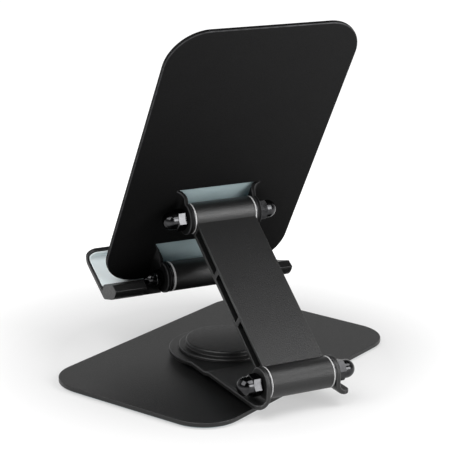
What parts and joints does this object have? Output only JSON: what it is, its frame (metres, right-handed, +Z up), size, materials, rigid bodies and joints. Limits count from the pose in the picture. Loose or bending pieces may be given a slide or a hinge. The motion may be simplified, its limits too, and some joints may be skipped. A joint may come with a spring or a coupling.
{
  "type": "tablet stand",
  "caption": "Folding desk stand for a tablet: swivel base, tilting arm, padded back plate and hinged shelf on friction hinges.",
  "frame": {"origin": "on the desk, under the swivel axis: the middle of the base pad's underside", "axes": "+Z up along the swivel axis, +X along the three hinge axes, -Y towards the side that the tablet faces. At rest the base plate is turned 26.5 degrees about +Z against the upper works."},
  "size_m": [0.1878, 0.1623, 0.1877],
  "materials": {
    "anodised_black": "fine bead-blasted, black anodised, satin",
    "plate_black": "fine matte black powder coat on aluminium sheet",
    "black_chrome": "black chrome, polished",
    "steel": "turned, bright",
    "silicone_sheet": "pale grey-blue silicone, slightly cloudy",
    "silicone_shelf": "pale grey-blue silicone, matte",
    "nylon_black": "dry-running nylon",
    "bush_nylon": "natural bearing plastic, smooth"
  },
  "bodies": {
    "base": {"base_plate": "anodised_black", "base_pad": "silicone_sheet", "pivot_stud": "steel", "slide_disc": "nylon_black", "friction_washer": "nylon_black", "spring_washer": "steel", "pivot_nut": "steel"},
    "turntable": {"turntable_plate": "anodised_black", "swivel_cap": "anodised_black", "hinge_a_axle": "steel", "hinge_a_acorn_nut_left": "black_chrome", "hinge_a_acorn_nut_right": "black_chrome", "hinge_a_washer_left": "steel", "hinge_a_washer_right": "steel"},
    "arm_body": {"arm": "anodised_black", "hinge_a_bush_left": "bush_nylon", "hinge_a_bush_right": "bush_nylon", "hinge_b_bush_left": "bush_nylon", "hinge_b_bush_right": "bush_nylon"},
    "tablet_rest": {"tablet_plate": "plate_black", "tablet_pad": "silicone_sheet", "hinge_b_axle": "steel", "hinge_b_acorn_nut_left": "black_chrome", "hinge_b_acorn_nut_right": "black_chrome", "hinge_b_washer_left": "steel", "hinge_b_washer_right": "steel", "hinge_c_axle": "steel", "hinge_c_acorn_nut_left": "black_chrome", "hinge_c_acorn_nut_right": "black_chrome", "hinge_c_washer_left": "steel", "hinge_c_washer_right": "steel"},
    "shelf_body": {"shelf": "anodised_black", "shelf_pad": "silicone_shelf", "hinge_c_bush_left": "bush_nylon", "hinge_c_bush_right": "bush_nylon"}
  },
  "joints": [
    {"name": "swivel", "type": "hinge", "parent": "base", "child": "turntable", "pos_m": [0, 0, 0], "axis": [0, 0, 1], "continuous": true},
    {"name": "arm_tilt", "type": "hinge", "parent": "turntable", "child": "arm_body", "pos_m": [0, 0.0745, 0.017], "axis": [1, 0, 0], "range_deg": [-55, 0]},
    {"name": "tablet_tilt", "type": "hinge", "parent": "arm_body", "child": "tablet_rest", "pos_m": [0, -0.00932, 0.07857], "axis": [1, 0, 0], "range_deg": [-75, 20]},
    {"name": "shelf_fold", "type": "hinge", "parent": "tablet_rest", "child": "shelf_body", "pos_m": [0, -0.031, 0.0404], "axis": [1, 0, 0], "range_deg": [0, 45]}
  ]
}
